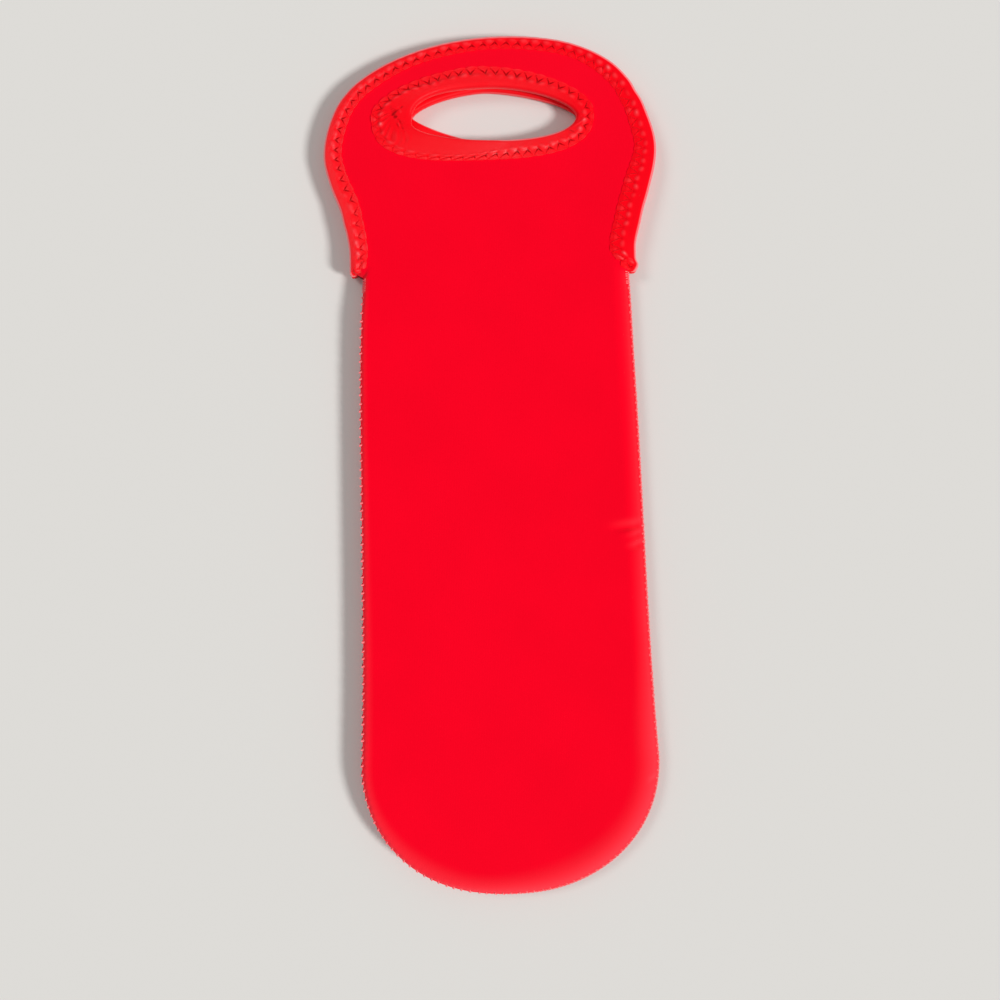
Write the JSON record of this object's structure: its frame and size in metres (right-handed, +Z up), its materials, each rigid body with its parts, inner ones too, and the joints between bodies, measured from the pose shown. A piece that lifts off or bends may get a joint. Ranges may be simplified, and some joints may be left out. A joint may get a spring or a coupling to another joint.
{
  "type": "bottle carrier",
  "caption": "Soft red neoprene tote for one wine bottle, with bound loop handles that carry a hand hole, lying flat and empty.",
  "frame": {"origin": "middle of the flat carrier's box, on the surface that it lies on", "axes": "+Z up from that surface, through the front panel; +Y along the carrier from the round bottom to the handles; +X to the right as seen from above with the handles away"},
  "size_m": [0.162, 0.42, 0.0119],
  "materials": {
    "jersey": "fine red nylon jersey, matt with a soft sheen",
    "lining": "fine red nylon jersey, matt",
    "foam": "closed-cell neoprene sponge bonded between the jerseys",
    "binding": "stretch nylon tape, slightly glossy",
    "thread": "twisted polyester thread"
  },
  "bodies": {
    "bag": {"front_body_jersey": "jersey", "front_body_foam": "foam", "front_body_lining": "lining", "back_body_jersey": "jersey", "back_body_foam": "foam", "back_body_lining": "lining", "body_seam_thread": "thread", "left_corner_tack": "thread", "right_corner_tack": "thread"},
    "front_grip": {"front_handle_jersey": "jersey", "front_handle_foam": "foam", "front_handle_lining": "lining", "front_edge_binding": "binding", "front_hole_binding": "binding", "front_edge_stitching": "thread", "front_hole_stitching": "thread"},
    "back_grip": {"back_handle_jersey": "jersey", "back_handle_foam": "foam", "back_handle_lining": "lining", "back_edge_binding": "binding", "back_hole_binding": "binding", "back_edge_stitching": "thread", "back_hole_stitching": "thread"}
  },
  "joints": [
    {"name": "front_handle_fold", "type": "hinge", "parent": "bag", "child": "front_grip", "pos_m": [0, 0.093, 0.01115], "axis": [1, 0, 0], "range_deg": [0, 90], "stiffness_Nm_per_rad": 0.015},
    {"name": "back_handle_fold", "type": "hinge", "parent": "bag", "child": "back_grip", "pos_m": [0, 0.093, 0.00075], "axis": [-1, 0, 0], "range_deg": [0, 90], "stiffness_Nm_per_rad": 0.015}
  ]
}
